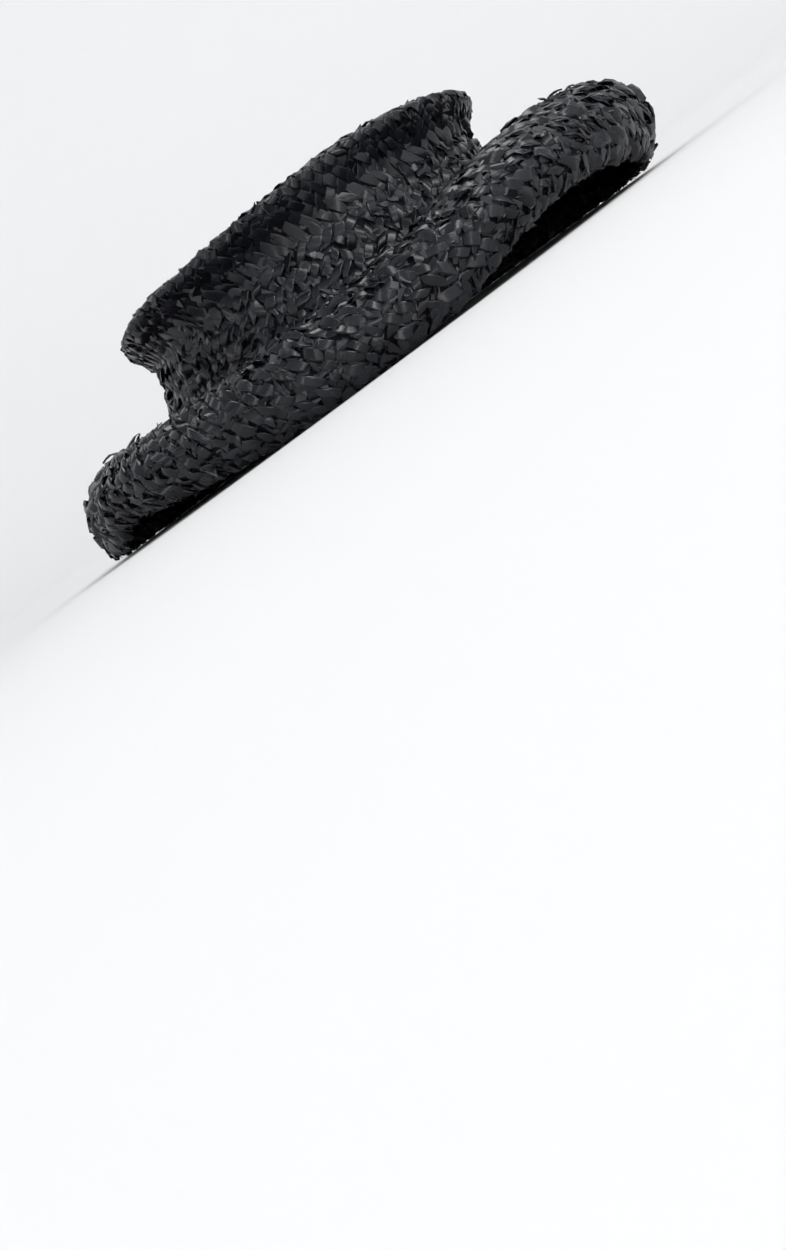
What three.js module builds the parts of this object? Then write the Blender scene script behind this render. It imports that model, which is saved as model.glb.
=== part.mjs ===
// A black woven straw hat: a low spool-shaped crown, and a brim that rolls up, over and down.
// Millimetres, +Z up. It stands on the lower edge of its brim. Its front faces -Y.
// Azimuth runs round the hat in degrees: 0 at the front, 90 at +X, 180 at the back.
import * as THREE from "three";
import { mergeVertices } from "three/addons/utils/BufferGeometryUtils.js";

// The opening for the head, and the shelf round it that the crown's foot stands on.
const HEAD_WIDTH = 152;
const HEAD_LENGTH = 160;
const SHELF_WIDTH = 6.5;
const SHELF_HEIGHT = 18;

// The brim: a trough round the crown, then a roll that turns down to the lower edge.
const TROUGH_WIDTH = 14;
const ROLL_WIDTH = 26;
const BRIM_HEIGHT = 41.3;
const EDGE_LIFT = 12.5;
const EDGE_TURN_IN = 14;
const BRIM_WALL = 2.4;

// The crown: its foot, its waist, the flared band under the ridge and the flat tip.
const CROWN_HEIGHT = 70.4;
const CROWN_SHIFT = 2.5;
const WAIST_TUCK = 13.6;
const BAND_HEIGHT = 16.5;
const BAND_FLARE = 8.5;
const RIDGE_INSET = 4.2;
const RIDGE_ROUND = 3.2;
const TIP_SINK = 2;
const DENT_DEPTH = 3;
const DENT_AZIMUTH = 38;
const DENT_SPREAD = 8;
const CROWN_WALL = 2.2;

// The crown's foot stands this far above the shelf.
const SEAM_GAP = 0.3;

// How finely the walls are faceted: steps round the hat and along each stretch of a section.
const AZIMUTH_STEPS = 72;
const TROUGH_STEPS = 7;
const ROLL_STEPS = 7;
const EDGE_STEPS = 4;
const RIDGE_STEPS = 3;
const BAND_STEPS = 5;

// The lower edge's arc stops this many degrees below level, so it turns in without lying flat.
const EDGE_ANGLE = 65;

// How far each end of an S-shaped stretch runs straight on, as a share of its width or height.
const TROUGH_EASE = 0.6;
const BAND_EASE = 0.4;

// How far the band starts to lean in at once, under the ridge, as a share of its width.
const BAND_LEAN = 0.3;

// How quickly the crown's wall flares out below the waist: 1 is straight, 2 is a parabola.
const FOOT_CURVE = 1.4;

// Where the rings of facets lie on the tip, from its middle, and on the wall, from waist to foot.
const TIP_SHARES = [0, 0.55];
const WALL_SHARES = [0.17, 0.36, 0.56, 0.78, 1];

// crest: height of the roll, a share of BRIM_HEIGHT. lift: the lower edge above the table, a share of
// EDGE_LIFT. turn: how far the lower edge turns in under the roll, a share of EDGE_TURN_IN. bulge: where
// the roll is widest, as a share of the way from its lower edge to its crest.
const BRIM_ROWS = [
  { azimuth: -180, crest: 0.76, lift: 0, turn: 0.55, bulge: 0.45 },
  { azimuth: -130, crest: 0.76, lift: 0, turn: 0.45, bulge: 0.45 },
  { azimuth: -105, crest: 0.77, lift: 0.06, turn: 0.2, bulge: 0.4 },
  { azimuth: -90, crest: 0.77, lift: 0.2, turn: 0.04, bulge: 0.38 },
  { azimuth: -73, crest: 0.765, lift: 0.3, turn: 0.3, bulge: 0.4 },
  { azimuth: -62, crest: 0.75, lift: 0.72, turn: 0.42, bulge: 0.4 },
  { azimuth: -45, crest: 0.73, lift: 0.46, turn: 0.5, bulge: 0.42 },
  { azimuth: -30, crest: 0.725, lift: 0.18, turn: 0.55, bulge: 0.45 },
  { azimuth: -15, crest: 0.725, lift: 0, turn: 0.6, bulge: 0.48 },
  { azimuth: 0, crest: 0.73, lift: 0.04, turn: 0.6, bulge: 0.48 },
  { azimuth: 15, crest: 0.78, lift: 0.24, turn: 0.55, bulge: 0.48 },
  { azimuth: 25, crest: 0.88, lift: 0.64, turn: 0.5, bulge: 0.46 },
  { azimuth: 40, crest: 0.96, lift: 0.96, turn: 0.5, bulge: 0.44 },
  { azimuth: 55, crest: 1, lift: 0.8, turn: 0.55, bulge: 0.44 },
  { azimuth: 75, crest: 0.965, lift: 0.36, turn: 0.8, bulge: 0.47 },
  { azimuth: 90, crest: 0.92, lift: 0.22, turn: 1, bulge: 0.5 },
  { azimuth: 110, crest: 0.86, lift: 0.1, turn: 0.85, bulge: 0.48 },
  { azimuth: 135, crest: 0.8, lift: 0, turn: 0.6, bulge: 0.45 },
];

// ridge: the crown's height, a share of CROWN_HEIGHT. flare: how far the band stands out from the
// waist, a share of BAND_FLARE. The band leans out most over the left front and ends in a crease.
const CROWN_ROWS = [
  { azimuth: -180, ridge: 0.74, flare: 0.72 },
  { azimuth: -135, ridge: 0.775, flare: 0.72 },
  { azimuth: -90, ridge: 0.838, flare: 0.66 },
  { azimuth: -60, ridge: 0.912, flare: 0.92 },
  { azimuth: -45, ridge: 0.95, flare: 1 },
  { azimuth: -30, ridge: 0.957, flare: 1 },
  { azimuth: -15, ridge: 0.975, flare: 0.98 },
  { azimuth: 0, ridge: 0.988, flare: 0.9 },
  { azimuth: 10, ridge: 1, flare: 0.55 },
  { azimuth: 30, ridge: 0.992, flare: 0.6 },
  { azimuth: 45, ridge: 0.968, flare: 0.72 },
  { azimuth: 60, ridge: 0.935, flare: 0.85 },
  { azimuth: 90, ridge: 0.855, flare: 0.94 },
  { azimuth: 135, ridge: 0.785, flare: 0.78 },
];

// A table's column at an azimuth: a smooth curve through its rows, closed round the hat.
function along(rows, column, azimuth) {
  const turned = ((azimuth + 540) % 360) - 180;
  const count = rows.length;
  let last = count - 1;
  while (last > 0 && rows[last].azimuth > turned) last -= 1;
  const row = (k) => {
    const wrapped = (k + count) % count;
    return { at: rows[wrapped].azimuth + 360 * Math.floor(k / count), value: rows[wrapped][column] };
  };
  const [before, start, end, after] = [row(last - 1), row(last), row(last + 1), row(last + 2)];
  const span = end.at - start.at;
  const slopeIn = ((end.value - before.value) / (end.at - before.at)) * span;
  const slopeOut = ((after.value - start.value) / (after.at - start.at)) * span;
  const t = (turned - start.at) / span;
  const rise = t * t * (3 - 2 * t);
  const lead = t * (1 - t) * (1 - t);
  const trail = t * t * (t - 1);
  return start.value + (end.value - start.value) * rise + slopeIn * lead + slopeOut * trail;
}

// Distance from the middle of an oval to its edge, at an azimuth.
function ovalRadius(halfWidth, halfLength, azimuth) {
  const angle = THREE.MathUtils.degToRad(azimuth);
  return 1 / Math.hypot(Math.sin(angle) / halfWidth, Math.cos(angle) / halfLength);
}

function headRadius(azimuth) {
  return ovalRadius(HEAD_WIDTH / 2, HEAD_LENGTH / 2, azimuth);
}

// Points on a quarter of an ellipse round a centre, from one angle to another, in degrees.
function arc(centreReach, centreHeight, reach, height, from, to, steps) {
  const points = [];
  for (let k = 0; k <= steps; k += 1) {
    const angle = THREE.MathUtils.degToRad(from + ((to - from) * k) / steps);
    const across = centreReach + reach * Math.cos(angle);
    points.push(new THREE.Vector2(across, centreHeight + height * Math.sin(angle)));
  }
  return points;
}

// The underside of a wall: each point of the outer skin moved in by the wall's thickness.
function innerSkin(skin, wall) {
  return skin.map((point, k) => {
    const before = skin[Math.max(k - 1, 0)];
    const after = skin[Math.min(k + 1, skin.length - 1)];
    const inward = new THREE.Vector2(after.y - before.y, before.x - after.x).normalize();
    return point.clone().addScaledVector(inward, wall);
  });
}

// The brim's outer skin at an azimuth, from the shelf's inner edge to the lower edge.
function brimSkin(azimuth) {
  const shift = CROWN_SHIFT * Math.sin(THREE.MathUtils.degToRad(azimuth));
  const head = headRadius(azimuth) - shift;
  const shelf = head + SHELF_WIDTH + SEAM_GAP;
  const outside = SHELF_WIDTH + TROUGH_WIDTH + ROLL_WIDTH;
  const reach = ovalRadius(HEAD_WIDTH / 2 + outside, HEAD_LENGTH / 2 + outside, azimuth);
  const crestReach = reach - ROLL_WIDTH;
  const crest = BRIM_HEIGHT * along(BRIM_ROWS, "crest", azimuth);
  const lift = Math.max(EDGE_LIFT * along(BRIM_ROWS, "lift", azimuth), 0);
  const turnIn = EDGE_TURN_IN * along(BRIM_ROWS, "turn", azimuth);
  const widest = lift + (crest - lift) * along(BRIM_ROWS, "bulge", azimuth);

  const ease = TROUGH_EASE * (crestReach - shelf);
  const trough = new THREE.CubicBezierCurve(
    new THREE.Vector2(shelf, SHELF_HEIGHT),
    new THREE.Vector2(shelf + ease, SHELF_HEIGHT),
    new THREE.Vector2(crestReach - ease, crest),
    new THREE.Vector2(crestReach, crest),
  ).getPoints(TROUGH_STEPS);
  const roll = arc(crestReach, widest, ROLL_WIDTH, crest - widest, 90, 0, ROLL_STEPS);

  const last = THREE.MathUtils.degToRad(EDGE_ANGLE);
  const turnWidth = turnIn / (1 - Math.cos(last));
  const turnHeight = (widest - lift) / Math.sin(last);
  const under = arc(reach - turnWidth, widest, turnWidth, turnHeight, 0, -EDGE_ANGLE, EDGE_STEPS);
  return [new THREE.Vector2(head, SHELF_HEIGHT), ...trough, ...roll.slice(1), ...under.slice(1)];
}

// The brim's section: out along the underside, across the level lower edge and back over the roll.
function brimSection(azimuth) {
  const skin = brimSkin(azimuth);
  const inner = innerSkin(skin, BRIM_WALL);
  inner[0].x = skin[0].x;
  const edge = skin[skin.length - 1];
  inner[inner.length - 1].set(edge.x - BRIM_WALL, edge.y);
  return [...inner, ...skin.reverse(), inner[0]];
}

// How deep the crown's wall is pushed in at a place on the right front, under the band.
function dent(azimuth, height, waist) {
  const round = (azimuth - DENT_AZIMUTH) / DENT_SPREAD;
  const up = (height - waist) / (BAND_HEIGHT / 2);
  return DENT_DEPTH * Math.exp(-round * round - up * up);
}

// The crown's outer skin at an azimuth, from the middle of the tip to the foot.
function crownSkin(azimuth) {
  const foot = headRadius(azimuth) + SHELF_WIDTH;
  const waistReach = foot - WAIST_TUCK;
  const bandReach = waistReach + BAND_FLARE * along(CROWN_ROWS, "flare", azimuth);
  const ridgeReach = bandReach - RIDGE_INSET;
  const ridge = CROWN_HEIGHT * along(CROWN_ROWS, "ridge", azimuth);
  const bandHeight = ridge - RIDGE_ROUND;
  const waist = ridge - BAND_HEIGHT;
  const footHeight = SHELF_HEIGHT + SEAM_GAP;

  const middle = (CROWN_HEIGHT * (CROWN_ROWS[0].ridge + 1)) / 2 - TIP_SINK;
  const tip = TIP_SHARES.map((share) => {
    return new THREE.Vector2(ridgeReach * share, middle + (ridge - middle) * share);
  });
  const edge = arc(ridgeReach, bandHeight, RIDGE_INSET, RIDGE_ROUND, 90, 0, RIDGE_STEPS);
  const ease = BAND_EASE * (bandHeight - waist);
  const lean = BAND_LEAN * (bandReach - waistReach);
  const band = new THREE.CubicBezierCurve(
    new THREE.Vector2(bandReach, bandHeight),
    new THREE.Vector2(bandReach - lean, bandHeight - ease),
    new THREE.Vector2(waistReach, waist + ease),
    new THREE.Vector2(waistReach, waist),
  ).getPoints(BAND_STEPS);
  const wall = WALL_SHARES.map((share) => {
    const flared = waistReach + WAIST_TUCK * share ** FOOT_CURVE;
    return new THREE.Vector2(flared, waist + (footHeight - waist) * share);
  });
  const skin = [...tip, ...edge, ...band.slice(1), ...wall];
  skin.slice(tip.length).forEach((point) => {
    point.x -= dent(azimuth, point.y, waist);
  });
  return skin;
}

// The crown's section: from the axis down the inside, across the level foot and up the outside.
function crownSection(azimuth) {
  const skin = crownSkin(azimuth);
  const inner = innerSkin(skin, CROWN_WALL);
  inner[0].set(0, skin[0].y - CROWN_WALL);
  const foot = skin[skin.length - 1];
  inner[inner.length - 1].set(foot.x - Math.SQRT2 * CROWN_WALL, foot.y);
  return [...inner, ...skin.reverse()];
}

// A closed body swept round the hat, with its section worked out afresh at each azimuth.
function swept(section) {
  const profile = section(0);
  const body = new THREE.LatheGeometry(profile, AZIMUTH_STEPS);
  const place = body.getAttribute("position");
  for (let step = 0; step <= AZIMUTH_STEPS; step += 1) {
    const azimuth = (360 * (step % AZIMUTH_STEPS)) / AZIMUTH_STEPS;
    const angle = THREE.MathUtils.degToRad(azimuth);
    section(azimuth).forEach((point, k) => {
      const x = point.x * Math.sin(angle);
      const y = -point.x * Math.cos(angle);
      place.setXYZ(step * profile.length + k, x, y, point.y);
    });
  }
  body.deleteAttribute("normal");
  body.deleteAttribute("uv");
  const merged = mergeVertices(body, 1e-4);
  merged.computeVertexNormals();
  return merged;
}

const blackStraw = new THREE.MeshStandardMaterial({ color: 0x17181b, roughness: 0.42, metalness: 0 });
const crownStraw = blackStraw.clone();

const brim = new THREE.Mesh(swept(brimSection), blackStraw);
brim.name = "brim";

const crown = new THREE.Mesh(swept(crownSection), crownStraw);
crown.name = "crown";
crown.position.x = -CROWN_SHIFT;

const hat = new THREE.Group();
hat.add(brim, crown);

export default hat;
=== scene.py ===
# %% [markdown]
# # A black straw hat, woven straw by straw
# The hat has a low crown shaped like a spool and a brim that rolls up, over and down to a lower edge.
# Both are woven from flat, glossy black straws, and every straw catches the light in its own way.
# So the plan is: rebuild the two smooth forms from a few named sizes, lay thousands of small bent
# straws on them as joined meshes, and give the straws a black, glossy finish.
#
# First the imported model is loaded.

# %% Load the frame
import math

import bmesh
import bpy
import numpy as np
from mathutils import Matrix, Vector


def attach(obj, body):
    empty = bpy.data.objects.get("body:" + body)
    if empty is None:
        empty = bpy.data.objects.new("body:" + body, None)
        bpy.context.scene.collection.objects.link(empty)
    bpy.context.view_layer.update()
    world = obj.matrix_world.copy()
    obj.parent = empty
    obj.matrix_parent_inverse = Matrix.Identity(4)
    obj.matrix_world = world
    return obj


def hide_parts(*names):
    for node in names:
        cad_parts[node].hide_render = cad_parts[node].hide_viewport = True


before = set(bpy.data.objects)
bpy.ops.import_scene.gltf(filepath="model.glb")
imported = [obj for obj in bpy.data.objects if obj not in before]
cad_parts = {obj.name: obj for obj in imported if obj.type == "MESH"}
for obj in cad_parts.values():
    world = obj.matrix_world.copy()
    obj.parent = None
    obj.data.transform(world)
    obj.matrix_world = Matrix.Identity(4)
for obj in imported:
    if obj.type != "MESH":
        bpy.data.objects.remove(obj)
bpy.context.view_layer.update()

# %% [markdown]
# ## Sizes
# These are the hat's sizes, the same ones that the solid parts are built from: lengths in metres,
# angles in degrees, and eases and leans as shares.
# Azimuth runs round the hat in degrees, 0 at the front (-Y) and 90 at +X.

# %% Sizes
HEAD_WIDTH = 0.152
HEAD_LENGTH = 0.160
SHELF_WIDTH = 0.0065
SHELF_HEIGHT = 0.018
TROUGH_WIDTH = 0.014
ROLL_WIDTH = 0.026
BRIM_HEIGHT = 0.0413
EDGE_LIFT = 0.0125
EDGE_TURN_IN = 0.014
EDGE_ANGLE = 65
BRIM_WALL = 0.0024
CROWN_HEIGHT = 0.0704
CROWN_SHIFT = 0.0025
WAIST_TUCK = 0.0136
BAND_HEIGHT = 0.0165
BAND_FLARE = 0.0085
RIDGE_INSET = 0.0042
RIDGE_ROUND = 0.0032
TIP_SINK = 0.002
DENT_DEPTH = 0.003
DENT_AZIMUTH = 38
DENT_SPREAD = 8
CROWN_WALL = 0.0022
SEAM_GAP = 0.0003
TROUGH_EASE = 0.6
BAND_EASE = 0.4
BAND_LEAN = 0.3
FOOT_CURVE = 1.4

# %% [markdown]
# The hat isn't even all the way round. The brim's roll is higher on the +X side, and its lower edge
# lifts in two shallow arches. The crown's ridge is highest at the front, and its flare varies. Two
# short tables hold that, with heights and widths as shares of the sizes above. A wave formula would
# need fewer numbers, but it couldn't follow places as uneven as these.

# %% Tables of the brim and the crown
BRIM_COLUMNS = ("azimuth", "crest", "lift", "turn", "bulge")
BRIM_ROWS = (
    (-180, 0.76, 0.0, 0.55, 0.45),
    (-130, 0.76, 0.0, 0.45, 0.45),
    (-105, 0.77, 0.06, 0.2, 0.4),
    (-90, 0.77, 0.2, 0.04, 0.38),
    (-73, 0.765, 0.3, 0.3, 0.4),
    (-62, 0.75, 0.72, 0.42, 0.4),
    (-45, 0.73, 0.46, 0.5, 0.42),
    (-30, 0.725, 0.18, 0.55, 0.45),
    (-15, 0.725, 0.0, 0.6, 0.48),
    (0, 0.73, 0.04, 0.6, 0.48),
    (15, 0.78, 0.24, 0.55, 0.48),
    (25, 0.88, 0.64, 0.5, 0.46),
    (40, 0.96, 0.96, 0.5, 0.44),
    (55, 1.0, 0.8, 0.55, 0.44),
    (75, 0.965, 0.36, 0.8, 0.47),
    (90, 0.92, 0.22, 1.0, 0.5),
    (110, 0.86, 0.1, 0.85, 0.48),
    (135, 0.8, 0.0, 0.6, 0.45),
)
BRIM_TABLE = [dict(zip(BRIM_COLUMNS, row)) for row in BRIM_ROWS]
CROWN_COLUMNS = ("azimuth", "ridge", "flare")
CROWN_ROWS = (
    (-180, 0.74, 0.72),
    (-135, 0.775, 0.72),
    (-90, 0.838, 0.66),
    (-60, 0.912, 0.92),
    (-45, 0.95, 1.0),
    (-30, 0.957, 1.0),
    (-15, 0.975, 0.98),
    (0, 0.988, 0.9),
    (10, 1.0, 0.55),
    (30, 0.992, 0.6),
    (45, 0.968, 0.72),
    (60, 0.935, 0.85),
    (90, 0.855, 0.94),
    (135, 0.785, 0.78),
)
CROWN_TABLE = [dict(zip(CROWN_COLUMNS, row)) for row in CROWN_ROWS]


def along(table, column, azimuth):
    """A table's column at an azimuth: a smooth curve through its rows, closed round the hat."""
    turned = (azimuth + 540) % 360 - 180
    count = len(table)
    last = max(k for k in range(count) if table[k]["azimuth"] <= turned)

    def row(k):
        return table[k % count]["azimuth"] + 360 * (k // count), table[k % count][column]

    before, start, end, after = (row(last + k) for k in (-1, 0, 1, 2))
    span = end[0] - start[0]
    slope_in = (end[1] - before[1]) / (end[0] - before[0]) * span
    slope_out = (after[1] - start[1]) / (after[0] - start[0]) * span
    t = (turned - start[0]) / span
    rise = t * t * (3 - 2 * t)
    lead = t * (1 - t) * (1 - t)
    trail = t * t * (t - 1)
    return start[1] + (end[1] - start[1]) * rise + slope_in * lead + slope_out * trail


print("brim crest at the front and at +X:", along(BRIM_TABLE, "crest", 0), along(BRIM_TABLE, "crest", 90))

# %% [markdown]
# ## The camera
# The hat was seen tilted by 36.5 degrees. Here it stands level, so the camera is rolled by that
# angle instead, and sits just above the floor, about level with the brim's lower edge. The lens
# looks a little past the hat, so that the hat lies high in the frame.

# %% Camera
FRAME_HEIGHT = 1250
TILT = math.radians(36.5)
DISTANCE = 1.2
EYE_HEIGHT = 0.0135
PIXELS_PER_METRE = 2840
AIM_ACROSS = -163
AIM_UP = -251
SENSOR_HEIGHT = 36.0
NEAREST = 0.001

camera_data = bpy.data.cameras.new("camera")
camera_data.sensor_fit = "VERTICAL"
camera_data.sensor_height = SENSOR_HEIGHT
camera_data.lens = PIXELS_PER_METRE * DISTANCE / FRAME_HEIGHT * camera_data.sensor_height
camera_data.clip_start = NEAREST
camera = bpy.data.objects.new("camera", camera_data)
bpy.context.collection.objects.link(camera)
eye = Vector((0, -DISTANCE, EYE_HEIGHT))
target = Vector((AIM_ACROSS, 0, AIM_UP)) / PIXELS_PER_METRE + Vector((0, 0, EYE_HEIGHT))
forward = (target - eye).normalized()
right = Vector((math.cos(TILT), 0, -math.sin(TILT)))
right = (right - forward * right.dot(forward)).normalized()
above = right.cross(forward)
turn = Matrix((right, above, -forward)).transposed()
camera.matrix_world = Matrix.Translation(eye) @ turn.to_4x4()
bpy.context.scene.camera = camera
print("lens", round(camera_data.lens, 1), "mm, eye", tuple(eye))

# %% [markdown]
# ## The studio
# The studio is a pale round floor that curves up into a pale wall, made by spinning one profile.
# It has no corners. A plane with a box behind it would show a seam in some views. The floor's colour
# is painted darker near the hat: a painted shade that evens out the lamps' brighter light there.

# %% Floor
FLOOR_RADIUS = 2.6
FLOOR_STEPS = 96
COVE_RADIUS = 0.9
COVE_STEPS = 12
WALL_TOP = 2.4
FLOOR_MERGE = 1e-5
FLOOR_ROUGHNESS = 0.7
# Painted shade: the floor's colour is darker near the hat and paler far off, to even out the lamps' brighter
# light near the hat.
NEAR_REACH = 0.3
NEAR_PAINTED_SHADE = 0.67
FAR_REACH = 2.4
FAR_SHADE = 0.84


def plain_material(name, colour, roughness):
    material = bpy.data.materials.new(name)
    material.use_nodes = True
    shader = material.node_tree.nodes["Principled BSDF"]
    shader.inputs["Base Color"].default_value = (*colour, 1)
    shader.inputs["Roughness"].default_value = roughness
    return material


profile = [(0, 0), (FLOOR_RADIUS - COVE_RADIUS, 0)]
for k in range(1, COVE_STEPS + 1):
    angle = math.radians(90 / COVE_STEPS * k)
    reach = FLOOR_RADIUS - COVE_RADIUS + COVE_RADIUS * math.sin(angle)
    profile.append((reach, COVE_RADIUS * (1 - math.cos(angle))))
profile.append((FLOOR_RADIUS, WALL_TOP))
cove = bmesh.new()
points = [cove.verts.new((reach, 0, height)) for reach, height in profile]
edges = [cove.edges.new(pair) for pair in zip(points, points[1:])]
bmesh.ops.spin(
    cove, geom=points + edges, cent=(0, 0, 0), axis=(0, 0, 1), angle=2 * math.pi, steps=FLOOR_STEPS,
    use_merge=True
)
bmesh.ops.remove_doubles(cove, verts=cove.verts, dist=FLOOR_MERGE)
bmesh.ops.recalc_face_normals(cove, faces=cove.faces)
if sum(face.normal.z for face in cove.faces) < 0:
    bmesh.ops.reverse_faces(cove, faces=cove.faces)
floor_mesh = bpy.data.meshes.new("floor")
cove.to_mesh(floor_mesh)
cove.free()
floor_mesh.shade_smooth()
floor = bpy.data.objects.new("floor", floor_mesh)
bpy.context.collection.objects.link(floor)
floor_material = plain_material("pale_floor", (NEAR_PAINTED_SHADE, NEAR_PAINTED_SHADE, NEAR_PAINTED_SHADE), FLOOR_ROUGHNESS)
floor_nodes = floor_material.node_tree.nodes
floor_links = floor_material.node_tree.links
floor_place = floor_nodes.new("ShaderNodeTexCoord")
floor_reach = floor_nodes.new("ShaderNodeVectorMath")
floor_reach.operation = "LENGTH"
floor_links.new(floor_place.outputs["Object"], floor_reach.inputs[0])
# Painted shade: darker floor colour near the hat, paler far off.
floor_painted_shade = floor_nodes.new("ShaderNodeMapRange")
floor_painted_shade.inputs["From Min"].default_value = NEAR_REACH
floor_painted_shade.inputs["From Max"].default_value = FAR_REACH
floor_painted_shade.inputs["To Min"].default_value = NEAR_PAINTED_SHADE
floor_painted_shade.inputs["To Max"].default_value = FAR_SHADE
floor_links.new(floor_reach.outputs["Value"], floor_painted_shade.inputs["Value"])
floor_links.new(floor_painted_shade.outputs["Result"], floor_nodes["Principled BSDF"].inputs["Base Color"])
floor_mesh.materials.append(floor_material)
print("floor faces", len(floor_mesh.polygons))

# %% [markdown]
# ## The light
# Glossy black straw shows what it reflects, so the lamps are planned as reflections: two broad soft
# ones, to the right and above, give the flat sides their grey, and three small strong ones draw
# thin bright lines on the folds. A low strip in front lightens the dark places under the brim a
# little. In views from behind it also leaves a pale patch with an edge in the background. A pale
# even sky lights the floor. A row of LAMPS holds a lamp's place, its width and height in metres and
# its brightness, which stays the same when its size is changed.

# %% Light
SKY_COLOUR = (0.94, 0.965, 1.0)
SKY_STRENGTH = 0.55
LAMPS = {
    "right_softbox": ((1.7, -1.3, 1.5), 1.15, 1.15, 7),
    "top_softbox": ((0.6, 1.1, 2.4), 1.15, 1.15, 5),
    "key_lamp": ((1.5, -0.7, 2.1), 0.5, 0.5, 20),
    "front_lamp": ((1.0, -2.0, 1.3), 0.45, 0.45, 10),
    "fill_lamp": ((-1.6, -1.4, 1.0), 0.4, 0.4, 10),
    "floor_strip": ((0.3, -1.9, 0.08), 0.9, 0.14, 16),
}
LAMP_AIM = (0, 0, 0.03)

world = bpy.data.worlds.new("studio_sky")
bpy.context.scene.world = world
world.use_nodes = True
sky = world.node_tree.nodes["Background"]
sky.inputs["Color"].default_value = (*SKY_COLOUR, 1)
sky.inputs["Strength"].default_value = SKY_STRENGTH
bpy.context.scene.view_settings.view_transform = "Standard"

for name, (place, width, height, brightness) in LAMPS.items():
    data = bpy.data.lights.new(name, "AREA")
    data.shape = "ELLIPSE"
    data.size = width
    data.size_y = height
    data.energy = brightness * math.pi * math.pi * width * height / 4
    lamp = bpy.data.objects.new(name, data)
    bpy.context.collection.objects.link(lamp)
    lamp.location = place
    lamp.rotation_euler = (Vector(LAMP_AIM) - Vector(place)).to_track_quat("-Z", "Y").to_euler()
    lamp.visible_camera = False
print("lamps", [light.name for light in bpy.data.lights])

# %% [markdown]
# ## The two smooth forms
# Each form is a section, a curve in the upright plane at one azimuth, that changes slowly round the
# hat. The brim's section runs over the top of the brim, down the roll, round the lower edge and back
# along the underside. The crown's runs from the middle of the tip to the foot and back inside. The
# hat could be sculpted as a mesh instead, but a section gives the place at any azimuth, and that is
# what the straws need. Each section is built from arcs and S curves, cut into these steps.

# %% Sections
TROUGH_STEPS = 24
ROLL_STEPS = 24
TURN_STEPS = 14
TIP_STEPS = 29
RIDGE_STEPS = 10
BAND_STEPS = 14
WALL_STEPS = 20


def oval_reach(half_width, half_length, azimuth):
    """Distance from the middle of an oval to its edge."""
    angle = math.radians(azimuth)
    return 1 / math.hypot(math.sin(angle) / half_width, math.cos(angle) / half_length)


def head_reach(azimuth):
    return oval_reach(HEAD_WIDTH / 2, HEAD_LENGTH / 2, azimuth)


def arc(centre, reach, height, start, end, steps):
    """Points on a stretch of an ellipse, from one angle to another."""
    angles = np.radians(np.linspace(start, end, steps + 1))
    return np.column_stack((centre[0] + reach * np.cos(angles), centre[1] + height * np.sin(angles)))


def s_curve(start, start_handle, end_handle, end, steps):
    """Points on a cubic curve with two handles."""
    t = np.linspace(0, 1, steps + 1)[:, None]
    start, start_handle, end_handle, end = map(np.array, (start, start_handle, end_handle, end))
    lead = (1 - t) ** 3 * start + 3 * (1 - t) ** 2 * t * start_handle
    return lead + 3 * (1 - t) * t ** 2 * end_handle + t ** 3 * end


def inner_skin(skin, wall):
    """The other side of a wall, which lies to the right of the skin's way."""
    run = np.gradient(skin, axis=0)
    inward = np.column_stack((run[:, 1], -run[:, 0]))
    return skin + wall * inward / np.linalg.norm(inward, axis=1)[:, None]


def brim_skin(azimuth):
    """The top of the brim, from the head opening to the lower edge."""
    head = head_reach(azimuth) - CROWN_SHIFT * math.sin(math.radians(azimuth))
    shelf = head + SHELF_WIDTH + SEAM_GAP
    outside = SHELF_WIDTH + TROUGH_WIDTH + ROLL_WIDTH
    reach = oval_reach(HEAD_WIDTH / 2 + outside, HEAD_LENGTH / 2 + outside, azimuth)
    crest_reach = reach - ROLL_WIDTH
    crest = BRIM_HEIGHT * along(BRIM_TABLE, "crest", azimuth)
    lift = max(EDGE_LIFT * along(BRIM_TABLE, "lift", azimuth), 0)
    turn_in = EDGE_TURN_IN * along(BRIM_TABLE, "turn", azimuth)
    widest = lift + (crest - lift) * along(BRIM_TABLE, "bulge", azimuth)
    ease = TROUGH_EASE * (crest_reach - shelf)
    trough = s_curve(
        (shelf, SHELF_HEIGHT), (shelf + ease, SHELF_HEIGHT),
        (crest_reach - ease, crest), (crest_reach, crest), TROUGH_STEPS
    )
    roll = arc((crest_reach, widest), ROLL_WIDTH, crest - widest, 90, 0, ROLL_STEPS)
    last = math.radians(EDGE_ANGLE)
    turn_width = turn_in / (1 - math.cos(last))
    turn_height = (widest - lift) / math.sin(last)
    under = arc((reach - turn_width, widest), turn_width, turn_height, 0, -EDGE_ANGLE, TURN_STEPS)
    return np.vstack(((head, SHELF_HEIGHT), trough, roll[1:], under[1:]))


def brim_section(azimuth):
    """Over the top of the brim, round its lower edge and back along its underside."""
    skin = brim_skin(azimuth)
    inner = inner_skin(skin, BRIM_WALL)
    inner[0, 0] = skin[0, 0]
    inner[-1] = (skin[-1, 0] - BRIM_WALL, skin[-1, 1])
    return np.vstack((skin, inner[::-1]))


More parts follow.
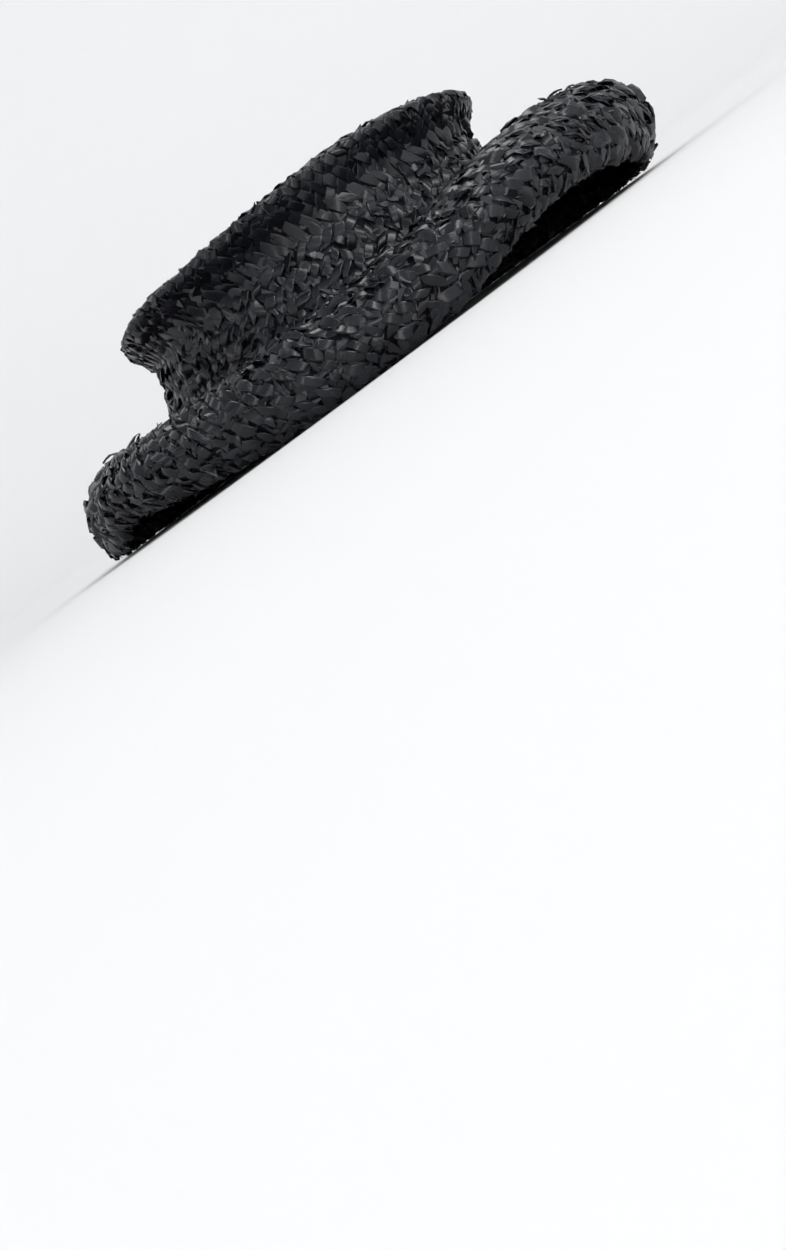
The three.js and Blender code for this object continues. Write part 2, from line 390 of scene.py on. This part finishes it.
def crown_skin(azimuth):
    """The outside of the crown, from the middle of the tip to the foot."""
    foot = head_reach(azimuth) + SHELF_WIDTH
    waist_reach = foot - WAIST_TUCK
    band_reach = waist_reach + BAND_FLARE * along(CROWN_TABLE, "flare", azimuth)
    ridge_reach = band_reach - RIDGE_INSET
    ridge = CROWN_HEIGHT * along(CROWN_TABLE, "ridge", azimuth)
    band_height = ridge - RIDGE_ROUND
    waist = ridge - BAND_HEIGHT
    foot_height = SHELF_HEIGHT + SEAM_GAP
    back_ridge = CROWN_TABLE[0]["ridge"]
    middle = CROWN_HEIGHT * (back_ridge + 1) / 2 - TIP_SINK
    share = np.linspace(0, 1, TIP_STEPS + 1)[:-1]
    tip = np.column_stack((ridge_reach * share, middle + (ridge - middle) * share))
    edge = arc((ridge_reach, band_height), RIDGE_INSET, RIDGE_ROUND, 90, 0, RIDGE_STEPS)
    ease = BAND_EASE * (band_height - waist)
    lean = BAND_LEAN * (band_reach - waist_reach)
    band = s_curve(
        (band_reach, band_height), (band_reach - lean, band_height - ease),
        (waist_reach, waist + ease), (waist_reach, waist), BAND_STEPS
    )
    share = np.linspace(0, 1, WALL_STEPS + 1)[1:]
    wall_reach = waist_reach + WAIST_TUCK * share ** FOOT_CURVE
    wall = np.column_stack((wall_reach, waist + (foot_height - waist) * share))
    side = np.vstack((edge, band[1:], wall))
    dent = ((azimuth - DENT_AZIMUTH) / DENT_SPREAD) ** 2 + ((side[:, 1] - waist) / (BAND_HEIGHT / 2)) ** 2
    side[:, 0] -= DENT_DEPTH * np.exp(-dent)
    return np.vstack((tip, side))


def crown_section(azimuth):
    """Down the outside of the crown, across the foot and up the inside."""
    skin = crown_skin(azimuth)
    inner = inner_skin(skin, CROWN_WALL)
    inner[0] = (0, skin[0, 1] - CROWN_WALL)
    inner[-1] = (skin[-1, 0] - math.sqrt(2) * CROWN_WALL, skin[-1, 1])
    return np.vstack((skin, inner[::-1]))


print("brim section points", len(brim_section(0)), "crown section points", len(crown_section(0)))

# %% [markdown]
# A form has to answer one question thousands of times: where is the point at this azimuth and this
# share of the section, and which way is out? So each form is sampled once on a fine grid, evenly
# along its section, and the answers are read from the grid. The ways out are smoothed a little, so
# that straws don't splay where the section turns sharply.

# %% Sampled forms
AZIMUTH_SAMPLES = 480
SECTION_SAMPLES = 420
OUT_SMOOTHINGS = 2
SMALLEST_NORMAL = 1e-12
SMALLEST_REACH = 0.004


class Form:
    """A form sampled on a grid of azimuths and shares of its section."""

    def __init__(self, section, shift):
        rows = []
        lengths = []
        for k in range(AZIMUTH_SAMPLES):
            azimuth = 360 * k / AZIMUTH_SAMPLES - 180
            points = section(azimuth)
            run = np.concatenate(([0], np.cumsum(np.linalg.norm(np.diff(points, axis=0), axis=1))))
            even = np.linspace(0, run[-1], SECTION_SAMPLES)
            reach = np.interp(even, run, points[:, 0])
            height = np.interp(even, run, points[:, 1])
            angle = math.radians(azimuth)
            rows.append(np.column_stack((reach * math.sin(angle) + shift, -reach * math.cos(angle), height)))
            lengths.append(run[-1])
        self.grid = np.array(rows)
        self.lengths = np.array(lengths)
        across = np.roll(self.grid, -1, axis=0) - np.roll(self.grid, 1, axis=0)
        down = np.gradient(self.grid, axis=1)
        normal = np.cross(across, down)
        size = np.linalg.norm(normal, axis=2, keepdims=True)
        normal = -normal / np.maximum(size, SMALLEST_NORMAL)
        for _ in range(OUT_SMOOTHINGS):
            normal[:, 1:-1] = normal[:, :-2] + normal[:, 1:-1] + normal[:, 2:]
            normal /= np.maximum(np.linalg.norm(normal, axis=2, keepdims=True), SMALLEST_NORMAL)
        self.normal = normal
        self.shift = shift

    def read(self, table, azimuth, share):
        """A grid's value between its samples."""
        column = (np.asarray(azimuth) + 180) / 360 * AZIMUTH_SAMPLES
        row = np.clip(np.asarray(share), 0, 1) * (SECTION_SAMPLES - 1)
        left = np.floor(column).astype(int)
        low = np.minimum(np.floor(row).astype(int), SECTION_SAMPLES - 2)
        s = (column - left)[..., None]
        t = (row - low)[..., None]
        a = left % AZIMUTH_SAMPLES
        b = (left + 1) % AZIMUTH_SAMPLES
        start = table[a, low] * (1 - s) + table[b, low] * s
        end = table[a, low + 1] * (1 - s) + table[b, low + 1] * s
        return start * (1 - t) + end * t

    def point(self, azimuth, share):
        return self.read(self.grid, azimuth, share)

    def out(self, azimuth, share):
        normal = self.read(self.normal, azimuth, share)
        return normal / np.maximum(np.linalg.norm(normal, axis=-1, keepdims=True), SMALLEST_NORMAL)

    def reach(self, azimuth, share):
        """Distance from the form's axis, for turning lengths into degrees."""
        place = self.point(azimuth, share)
        return np.maximum(np.hypot(place[..., 0] - self.shift, place[..., 1]), SMALLEST_REACH)

    def length(self, azimuth):
        column = (np.asarray(azimuth) + 180) / 360 * AZIMUTH_SAMPLES
        return np.interp(column % AZIMUTH_SAMPLES, np.arange(AZIMUTH_SAMPLES), self.lengths)


brim_form = Form(brim_section, 0)
crown_form = Form(crown_section, -CROWN_SHIFT)
print("brim section length", round(float(brim_form.lengths.mean()), 4), "m")
print("crown section length", round(float(crown_form.lengths.mean()), 4), "m")
print("the way out, front of the roll", brim_form.out(0.0, 0.3).round(2))
print("the way out, front of the tip", crown_form.out(0.0, 0.1).round(2))

# %% [markdown]
# ## The ground under the straws
# Between the straws one sees the darker ground of the weave. It is a thin closed wall just inside
# both skins of each form: a flat grid is wrapped round the hat, its meeting edges are merged and
# the gap that is left is bridged. The solid parts could serve as the ground, but they would cover
# the straws, which dive below the skin.

# %% Ground walls
OUTSIDE_INSET = 0.0019
INSIDE_INSET = 0.0001
OUTSIDE_ENDS = 0.5
GROUND_MERGE = 5e-5
BRIM_GROUND_STEPS = (180, 90)
CROWN_GROUND_STEPS = (150, 90)


def wrapped_wall(name, form, steps):
    wall = bmesh.new()
    bmesh.ops.create_grid(wall, x_segments=steps[0], y_segments=steps[1], size=0.5)
    flat = np.array([vertex.co for vertex in wall.verts])
    azimuth = flat[:, 0] * 360
    share = flat[:, 1] + 0.5
    inset = np.where(share < OUTSIDE_ENDS, OUTSIDE_INSET, INSIDE_INSET)[:, None]
    place = form.point(azimuth, share) - inset * form.out(azimuth, share)
    for vertex, co in zip(wall.verts, place):
        vertex.co = co
    bmesh.ops.remove_doubles(wall, verts=wall.verts, dist=GROUND_MERGE)
    ends = [edge for edge in wall.edges if edge.is_boundary]
    if ends:
        bmesh.ops.bridge_loops(wall, edges=ends)
    bmesh.ops.recalc_face_normals(wall, faces=wall.faces)
    mesh = bpy.data.meshes.new(name)
    wall.to_mesh(mesh)
    wall.free()
    mesh.shade_smooth()
    piece = bpy.data.objects.new(name, mesh)
    bpy.context.collection.objects.link(piece)
    print(name, "faces", len(mesh.polygons), "edges bridged", len(ends))
    return piece


brim_ground = wrapped_wall("brim_ground", brim_form, BRIM_GROUND_STEPS)
crown_ground = wrapped_wall("crown_ground", crown_form, CROWN_GROUND_STEPS)

# %% [markdown]
# ## One straw
# A straw of this hat is a flat glossy ribbon. Where it passes over its neighbours it rises, and its
# two ends dive under them, so what shows is a small plate with pointed corners and folded edges. A
# curve with a bevel would give round straws, so the template is a little grid instead: its columns
# are the two folds, its rows are the bends, and it is narrowed towards its ends and made solid.

# %% Straw template
TEMPLATE_THICKNESS = 0.1
FOLD_PLACE = 0.35
BEND_PLACE = 0.26
EDGE_PLACE = 0.45
MIDDLE_PLACE = 0.1
NARROWING = 2.2


def straw_template(columns, steps, end_width):
    """A unit ribbon along Y, closed, as vertices and faces to copy."""
    ribbon = bmesh.new()
    bmesh.ops.create_grid(ribbon, x_segments=columns, y_segments=steps, size=0.5)
    for vertex in ribbon.verts:
        if abs(vertex.co.x) < EDGE_PLACE:
            vertex.co.x = math.copysign(FOLD_PLACE, vertex.co.x)
        if MIDDLE_PLACE < abs(vertex.co.y) < EDGE_PLACE:
            vertex.co.y = math.copysign(BEND_PLACE, vertex.co.y)
        vertex.co.x *= 1 - (1 - end_width) * (abs(vertex.co.y) * 2) ** NARROWING
    bmesh.ops.solidify(ribbon, geom=list(ribbon.faces), thickness=TEMPLATE_THICKNESS)
    bmesh.ops.recalc_face_normals(ribbon, faces=ribbon.faces)
    ribbon.verts.index_update()
    vertices = np.array([vertex.co for vertex in ribbon.verts])
    faces = np.array([[vertex.index for vertex in face.verts] for face in ribbon.faces])
    ribbon.free()
    return vertices, faces


woven_straw = straw_template(columns=3, steps=4, end_width=0.55)
plain_straw = straw_template(columns=1, steps=3, end_width=0.7)
pointed_straw = straw_template(columns=3, steps=4, end_width=0.25)
print("a straw has", len(woven_straw[0]), "vertices and", len(woven_straw[1]), "faces")

# %% [markdown]
# ## Bending a straw
# Every straw has its own numbers: where it lies, how it is turned, its width and length, and how it
# rises, dives, curls, folds and tilts. They are kept as arrays with one value for each straw, so that
# thousands of straws are bent at once. First comes how far each vertex stands off the form.

# %% How far a straw stands off
STRAW_THICKNESS = 0.0003


def straw_rise(shape, straw, across, length):
    """Height of each vertex over the form: rise and dive, folds, tilts, then the straw's thickness."""
    inner = np.abs(shape[:, 0]) < EDGE_PLACE
    end = np.abs(shape[:, 1]) > EDGE_PLACE
    middle = np.abs(shape[:, 1]) < MIDDLE_PLACE
    rise = straw["rise"] * (1 - straw["dive"] * end) - straw["inset"]
    rise += straw["curl"] * middle
    rise += (inner & (shape[:, 0] < 0)) * straw["left_fold"]
    rise += (inner & (shape[:, 0] > 0)) * straw["right_fold"]
    rise += across * np.tan(straw["roll"] + straw["twist"] * shape[:, 1])
    rise = np.minimum(rise + length * np.tan(straw["pitch"]), straw["highest"])
    return rise + shape[:, 2] * STRAW_THICKNESS / TEMPLATE_THICKNESS


# %% [markdown]
# Then comes where each vertex lies. A woven straw follows the form both ways. On the flat tip, near
# its middle, azimuth turns so quickly that a straw has to be laid out by distances instead. And a
# straw that has come loose keeps straight, so that its end stands clear of the form.

# %% Where a straw lies
SMALL_TURN = 0.5
SMALL_SHARE = 0.004


def bent_place(form, straw, sideways, upward, rise):
    """Follows the form both ways."""
    azimuth = straw["azimuth"] + np.degrees(sideways / form.reach(straw["azimuth"], straw["share"]))
    share = straw["share"] - upward / form.length(straw["azimuth"])
    return form.point(azimuth, share) + rise[..., None] * form.out(azimuth, share)


def flat_place(form, straw, sideways, upward, rise):
    """Keeps a straw's form near the middle of the tip."""
    reach = form.reach(straw["azimuth"], straw["share"])
    azimuth = straw["azimuth"] + np.degrees(np.arctan2(sideways, reach - upward))
    share = straw["share"] * np.hypot(reach - upward, sideways) / reach
    return form.point(azimuth, share) + rise[..., None] * form.out(azimuth, share)


def straight_place(form, straw, sideways, upward, rise):
    """Stays in the plane that touches the form where the straw lies."""
    azimuth = straw["azimuth"]
    share = straw["share"]
    around = form.point(azimuth + SMALL_TURN, share) - form.point(azimuth - SMALL_TURN, share)
    up = form.point(azimuth, share - SMALL_SHARE) - form.point(azimuth, share + SMALL_SHARE)
    around /= np.linalg.norm(around, axis=-1, keepdims=True)
    up /= np.linalg.norm(up, axis=-1, keepdims=True)
    place = form.point(azimuth, share) + sideways[..., None] * around + upward[..., None] * up
    return place + rise[..., None] * form.out(azimuth, share)


# %% [markdown]
# ## Laying straws
# All the straws of a piece become one mesh, with a UV map that runs along each straw and a tone of
# its own for the material. Smooth shading alone would blur the flat plates, and flat shading would
# show hard tiles. So the normals follow the larger faces: the plates stay flat, and their narrow
# folds look rounded and catch thin lines of light.

# %% Lay straws on a form
FLOOR_CLEARANCE = 0.00005
SMALLEST_FACING = 1e-20
UV_SHIFT = 7


def large_face_normals(place, faces):
    """A normal for each vertex, in which a face counts by the square of its size."""
    corner = place[:, faces]
    facing = np.cross(corner[:, :, 2] - corner[:, :, 0], corner[:, :, 3] - corner[:, :, 1])
    facing *= np.linalg.norm(facing, axis=2, keepdims=True)
    normals = np.zeros_like(place)
    for k, face in enumerate(faces):
        for vertex in face:
            normals[:, vertex] += facing[:, k]
    return normals / np.maximum(np.linalg.norm(normals, axis=2, keepdims=True), SMALLEST_FACING)


def lay_straws(name, form, template, straws, placed=bent_place):
    """straws: one value a straw in each array, lengths in metres and angles in radians."""
    shape, faces = template
    straw = {key: value[:, None] for key, value in straws.items()}
    across = shape[:, 0] * straw["width"]
    length = shape[:, 1] * straw["length"] + across * straw["slant"]
    rise = straw_rise(shape, straw, across, length)
    sideways = across * np.cos(straw["turn"]) - length * np.sin(straw["turn"])
    upward = across * np.sin(straw["turn"]) + length * np.cos(straw["turn"])
    place = placed(form, straw, sideways, upward, rise)
    place[..., 2] = np.maximum(place[..., 2], FLOOR_CLEARANCE)
    count = len(straws["tone"])
    corners = faces + np.arange(count)[:, None, None] * len(shape)
    mesh = bpy.data.meshes.new(name)
    mesh.from_pydata(place.reshape(-1, 3).tolist(), [], corners.reshape(-1, 4).tolist())
    tone = mesh.attributes.new("tone", "FLOAT", "POINT")
    tone.data.foreach_set("value", np.repeat(straws["tone"], len(shape)))
    uv = np.tile(shape[faces.ravel(), :2] + 0.5, (count, 1, 1))
    uv = uv + straws["tone"][:, None, None] * UV_SHIFT
    mesh.uv_layers.new(name="straw").data.foreach_set("uv", uv.ravel())
    mesh.shade_smooth()
    mesh.normals_split_custom_set_from_vertices(large_face_normals(place, faces).reshape(-1, 3).tolist())
    piece = bpy.data.objects.new(name, mesh)
    bpy.context.collection.objects.link(piece)
    print(name, count, "straws,", 2 * len(mesh.polygons), "triangles")
    return piece


# %% [markdown]
# ## The weave
# The weave is a diagonal one: row by row, the straws lean one way and then the other. The lean
# follows from how far apart the straws and rows are at that place, so the pattern stays closed
# where the hat grows wider. A drift from row to row turns the whole lattice a little, as on the
# front of the brim. Small seeded accidents in every straw keep it handmade: RANGES holds the
# smallest and largest share of each size, and SPREADS how far the other values stray. No woven
# straw stands higher over the form than HIGHEST_WOVEN, so that no accident leaves a flap that
# sticks out of the hat's outline.

# %% Rows of woven straws
RANGES = {
    "width": (0.72, 1.1),
    "length": (0.88, 1.14),
    "rise": (0.75, 1.2),
    "dive": (0.7, 1.05),
    "curl": (0.00015, 0.00075),
    "fold": (0.2, 1.0),
}
SPREADS = {
    "column": 0.13,
    "row": 0.1,
    "turn": 0.16,
    "slant": 0.5,
    "roll": 0.24,
    "twist": 0.42,
    "pitch": 0.12,
}
ROW_MULTIPLE = 8
HIGHEST_WOVEN = 0.0011


def no_drift(azimuth):
    """The lattice runs straight round."""
    return 0 * azimuth


def even_mess(share):
    """The accidents are as large everywhere."""
    return 1 + 0 * share


def woven_rows(form, weave, drift=no_drift, calm=even_mess):
    """A diagonal weave between two shares of the section, from the numbers in one row of WEAVES."""
    random = np.random.default_rng(weave["seed"])
    rows = weave["rows"]
    first, last = weave["shares"]
    row_share = (last - first) / rows
    shares = first + row_share * (np.arange(rows) + 0.5)
    around = 2 * math.pi * form.reach(np.zeros(rows), shares)
    counts = np.round(around / weave["spacing"] / ROW_MULTIPLE).astype(int) * ROW_MULTIPLE
    counts = np.maximum(counts, ROW_MULTIPLE)
    row = np.repeat(np.arange(rows), counts)
    column = np.concatenate([np.arange(count) for count in counts])
    step_turn = 360 / counts[row]
    azimuth = (column + 0.5 * (row % 2)) * step_turn - 180
    shift = drift(azimuth)
    azimuth = azimuth + shift * (row - rows / 2) * step_turn
    share = shares[row]
    side = np.where(row % 2 == 0, 1.0, -1.0)
    step_round = np.radians(step_turn) * form.reach(azimuth, share)
    step_along = row_share * form.length(azimuth)
    step_aside = step_round * (0.5 + side * shift)
    step = np.hypot(step_aside, step_along)
    count = len(row)
    mess = weave["mess"] * calm(share)
    fold = np.where(side > 0, *weave["folds"]) * mess
    return {
        "azimuth": azimuth + mess * random.normal(0, SPREADS["column"], count) * step_turn,
        "share": share + mess * random.normal(0, SPREADS["row"], count) * row_share,
        "turn": side * np.arctan2(step_aside, step_along) + mess * random.normal(0, SPREADS["turn"], count),
        "width": step_round * step_along / step * random.uniform(*RANGES["width"], count),
        "length": 2 * step * random.uniform(*RANGES["length"], count),
        "rise": weave["rise"] * (1 + weave["favour"] * side) * random.uniform(*RANGES["rise"], count),
        "inset": np.full(count, weave["inset"]),
        "dive": random.uniform(*RANGES["dive"], count),
        "curl": mess * random.uniform(*RANGES["curl"], count),
        "slant": random.normal(0, SPREADS["slant"], count),
        "left_fold": fold * random.uniform(*RANGES["fold"], count),
        "right_fold": fold * random.uniform(*RANGES["fold"], count),
        "roll": mess * random.normal(0, SPREADS["roll"], count),
        "twist": mess * random.normal(0, SPREADS["twist"], count),
        "pitch": mess * random.normal(0, SPREADS["pitch"], count),
        "tone": random.random(count),
        "highest": np.full(count, HIGHEST_WOVEN),
    }


def only(straws, chosen):
    """Some of the straws, to make a piece of their own."""
    return {key: value[chosen] for key, value in straws.items()}


# %% [markdown]
# ## Which weave goes where
# The straws are largest on the brim, where those that lean one way stand out like small cushions.
# On the crown's wall they are smaller and stand out the other way, and the flared band is drawn
# tight and flat. Inside, where nobody looks, plainer straws will do. Shares say where on the
# section a weave starts and ends; spacing is from straw to straw, all other sizes in metres too.

# %% Table of weaves
CREST_SHARE = 0.165
LIP_SHARE = 0.515
RIDGE_SHARE = 0.268
WAIST_SHARE = 0.365
FOOT_SHARE = 0.497
WEAVE_COLUMNS = ("seed", "shares", "rows", "spacing", "rise", "inset", "folds", "mess", "favour")
WEAVE_ROWS = {
    "brim": (11, (0.02, LIP_SHARE), 21, 0.0060, 0.0021, 0.0037, (0.0016, 0.0009), 1.0, 0.16),
    "underneath": (12, (LIP_SHARE, 0.97), 20, 0.0056, 0.0012, 0.0010, (0, 0), 0.9, 0.16),
    "band": (21, (RIDGE_SHARE, WAIST_SHARE), 7, 0.0050, 0.0011, 0.0021, (0.0007, 0.0006), 0.55, 0.16),
    "wall": (24, (WAIST_SHARE, FOOT_SHARE), 11, 0.0047, 0.0018, 0.0030, (0.0006, 0.0009), 1.2, -0.16),
    "tip": (22, (0.004, RIDGE_SHARE), 19, 0.0054, 0.0013, 0.0024, (0.0012, 0.0010), 0.55, 0.16),
    "inside": (23, (0.51, 0.97), 28, 0.0058, 0.0011, 0.0009, (0, 0), 0.9, 0.16),
}
WEAVES = {name: dict(zip(WEAVE_COLUMNS, row)) for name, row in WEAVE_ROWS.items()}
print("weaves", list(WEAVES))

# %% [markdown]
# The top of the brim is one weave, from the crown to the lower edge. It is laid as two pieces that
# meet at the crest, the trough and the roll, and its rows run on from one to the other. Two weaves
# would show a seam there. Along the crest the straws lie flatter than elsewhere, and at the front
# the lattice turns most. The underside has a plainer weave of its own.

# %% Brim straws
DRIFT_EVERYWHERE = 0.04
DRIFT_AT_FRONT = 0.21
DRIFT_AZIMUTH = 40
DRIFT_SPREAD = 55
PRESSED_SHARE = 0.17
PRESSED_SPREAD = 0.055
PRESSED_AMOUNT = 0.95


def brim_drift(azimuth):
    """The lattice turns where the front of the brim climbs."""
    return DRIFT_EVERYWHERE + DRIFT_AT_FRONT * np.exp(-((azimuth - DRIFT_AZIMUTH) / DRIFT_SPREAD) ** 2)


def pressed_crest(share):
    """The straws along the crest lie flatter, with smaller accidents."""
    return 1 - PRESSED_AMOUNT * np.exp(-((share - PRESSED_SHARE) / PRESSED_SPREAD) ** 2)


brim_weave = woven_rows(brim_form, WEAVES["brim"], brim_drift, pressed_crest)
in_trough = brim_weave["share"] < CREST_SHARE
brim_trough = lay_straws("brim_straws_trough", brim_form, woven_straw, only(brim_weave, in_trough))
brim_top = lay_straws("brim_straws", brim_form, woven_straw, only(brim_weave, ~in_trough))
under_weave = woven_rows(brim_form, WEAVES["underneath"])
brim_under = lay_straws("brim_straws_underneath", brim_form, plain_straw, under_weave)

# %% [markdown]
# The lower edge isn't a clean line: the straws that turn under it end in points that hang a little
# lower, some more than others. And here and there the end of a straw has come loose. Both are laid
# straight, with their own ranges of sizes.

# %% Lip straws and loose ends
LIP_SEED = 13
LIP_STRAWS = 290
LIP_STRAY = 0.5
LIP_STRAW_RANGES = {
    "share": (0.474, 0.494),
    "turn": (0.1, 1.0),
    "width": (0.0032, 0.0054),
    "length": (0.006, 0.0088),
    "rise": (0.0006, 0.0013),
    "inset": (0.0012, 0.0012),
    "dive": (0.3, 0.9),
    "curl": (0.0001, 0.0006),
    "slant": (-0.6, 0.6),
    "left_fold": (0.0001, 0.0007),
    "right_fold": (0.0001, 0.0007),
    "roll": (-0.4, 0.4),
    "twist": (-0.5, 0.5),
    "pitch": (-0.2, 0.2),
    "tone": (0, 1),
    "highest": (0.01, 0.01),
}
LOOSE_SEED = 14
LOOSE_ENDS = 60
LOOSE_END_RANGES = LIP_STRAW_RANGES | {
    "azimuth": (-180, 180),
    "share": (CREST_SHARE, 0.48),
    "turn": (0, 2 * math.pi),
    "width": (0.0009, 0.0022),
    "length": (0.005, 0.008),
    "rise": (0.0006, 0.001),
    "inset": (0.0006, 0.0006),
    "pitch": (0.15, 0.4),
}


def scattered(seed, count, ranges):
    """Single straws, with each value drawn evenly from its own range."""
    random = np.random.default_rng(seed)
    return {name: random.uniform(low, high, count) for name, (low, high) in ranges.items()}


lip_weave = scattered(LIP_SEED, LIP_STRAWS, LIP_STRAW_RANGES | {"azimuth": (-LIP_STRAY, LIP_STRAY)})
lip_weave["azimuth"] += np.linspace(-180, 180, LIP_STRAWS, endpoint=False)
lip_weave["turn"] *= np.resize((1, -1), LIP_STRAWS)
brim_lip = lay_straws("brim_straws_lip", brim_form, pointed_straw, lip_weave, straight_place)
loose_weave = scattered(LOOSE_SEED, LOOSE_ENDS, LOOSE_END_RANGES)
brim_loose = lay_straws("brim_loose_ends", brim_form, pointed_straw, loose_weave, straight_place)

# %% [markdown]
# The crown is woven like the brim, with smaller straws. It is laid in four parts: the flared band,
# the wall below it, the tip and the plain inside. One weave from the tip to the foot would be
# shorter, but the band is drawn tighter than the wall. And the tip has to be laid out by distances,
# because its rows close in to a point.

# %% Crown straws
crown_weaves = {name: woven_rows(crown_form, WEAVES[name]) for name in ("band", "wall", "tip", "inside")}
crown_band = lay_straws("crown_straws_band", crown_form, woven_straw, crown_weaves["band"])
crown_side = lay_straws("crown_straws_wall", crown_form, woven_straw, crown_weaves["wall"])
crown_tip = lay_straws("crown_straws_tip", crown_form, woven_straw, crown_weaves["tip"], flat_place)
crown_inside = lay_straws("crown_straws_inside", crown_form, plain_straw, crown_weaves["inside"])

# %% [markdown]
# ## The straw's finish
# The straws are black and glossy, with a faint blue, and fine lines run along each one. The lines
# could be painted as a picture, but then every straw would show the same ones. So they are noise,
# drawn out along the straw's UV map, that changes the gloss and the bump a little. Each straw's tone
# picks its colour between a dark and a light one. The straws under the brim and inside the crown are
# duller, and their colour is painted paler: painted light that lifts them where the floor closes the
# hat and little light gets in. The ground between the straws is nearly black and hardly shines.

# %% Straw material
STRAW_SPECULAR = 0.32
LINE_STRETCH = (9, 0.7, 1)
LINE_SCALE = 1.6
LINE_DETAIL = 3
LINE_DEPTH = 0.0003
LOOK_COLUMNS = ("dark", "light", "gloss", "lines")
LOOK_ROWS = {
    "black_straw": ((0.0034, 0.0037, 0.0052), (0.0112, 0.012, 0.016), (0.17, 0.31), 0.2),
    # The straws underneath are painted paler: painted light where little light reaches them.
    "black_straw_underneath_painted_paler": ((0.022, 0.0225, 0.026), (0.05, 0.0515, 0.057), (0.4, 0.6), 0.3),
}
LOOKS = {name: dict(zip(LOOK_COLUMNS, row)) for name, row in LOOK_ROWS.items()}
GROUND_COLOUR = (0.004, 0.004, 0.005)
GROUND_ROUGHNESS = 0.7
GROUND_SPECULAR = 0.08


def straw_material(name):
    look = LOOKS[name]
    material = bpy.data.materials.new(name)
    material.use_nodes = True
    nodes = material.node_tree.nodes
    links = material.node_tree.links
    shader = nodes["Principled BSDF"]
    tone = nodes.new("ShaderNodeAttribute")
    tone.attribute_name = "tone"
    colour = nodes.new("ShaderNodeValToRGB")
    colour.color_ramp.elements[0].color = (*look["dark"], 1)
    colour.color_ramp.elements[1].color = (*look["light"], 1)
    links.new(tone.outputs["Fac"], colour.inputs["Fac"])
    links.new(colour.outputs["Color"], shader.inputs["Base Color"])
    uv = nodes.new("ShaderNodeUVMap")
    uv.uv_map = "straw"
    stretch = nodes.new("ShaderNodeMapping")
    stretch.inputs["Scale"].default_value = LINE_STRETCH
    links.new(uv.outputs["UV"], stretch.inputs["Vector"])
    grain = nodes.new("ShaderNodeTexNoise")
    grain.inputs["Scale"].default_value = LINE_SCALE
    grain.inputs["Detail"].default_value = LINE_DETAIL
    links.new(stretch.outputs["Vector"], grain.inputs["Vector"])
    rough = nodes.new("ShaderNodeMapRange")
    rough.inputs["To Min"].default_value = look["gloss"][0]
    rough.inputs["To Max"].default_value = look["gloss"][1]
    links.new(grain.outputs["Fac"], rough.inputs["Value"])
    links.new(rough.outputs["Result"], shader.inputs["Roughness"])
    shader.inputs["Specular IOR Level"].default_value = STRAW_SPECULAR
    bump = nodes.new("ShaderNodeBump")
    bump.inputs["Strength"].default_value = look["lines"]
    bump.inputs["Distance"].default_value = LINE_DEPTH
    links.new(grain.outputs["Fac"], bump.inputs["Height"])
    links.new(bump.outputs["Normal"], shader.inputs["Normal"])
    return material


straw = straw_material("black_straw")
under_straw_painted_light = straw_material("black_straw_underneath_painted_paler")
ground = plain_material("ground_of_weave", GROUND_COLOUR, GROUND_ROUGHNESS)
ground.node_tree.nodes["Principled BSDF"].inputs["Specular IOR Level"].default_value = GROUND_SPECULAR
for piece in (brim_top, brim_trough, brim_lip, brim_loose, crown_band, crown_side, crown_tip):
    piece.data.materials.append(straw)
for piece in (brim_under, crown_inside):
    piece.data.materials.append(under_straw_painted_light)
for piece in (brim_ground, crown_ground):
    piece.data.materials.append(ground)
print("materials", [material.name for material in bpy.data.materials])

# %% [markdown]
# ## Hand over
# The new pieces stand for the two solids and ride on the hat's one body.

# %% Ride and replace
crown_pieces = (crown_ground, crown_band, crown_side, crown_tip, crown_inside)
brim_pieces = (brim_ground, brim_top, brim_trough, brim_lip, brim_loose, brim_under)
for piece in crown_pieces + brim_pieces:
    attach(piece, "root")
for piece in crown_pieces:
    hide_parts("crown")
for piece in brim_pieces:
    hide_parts("brim")
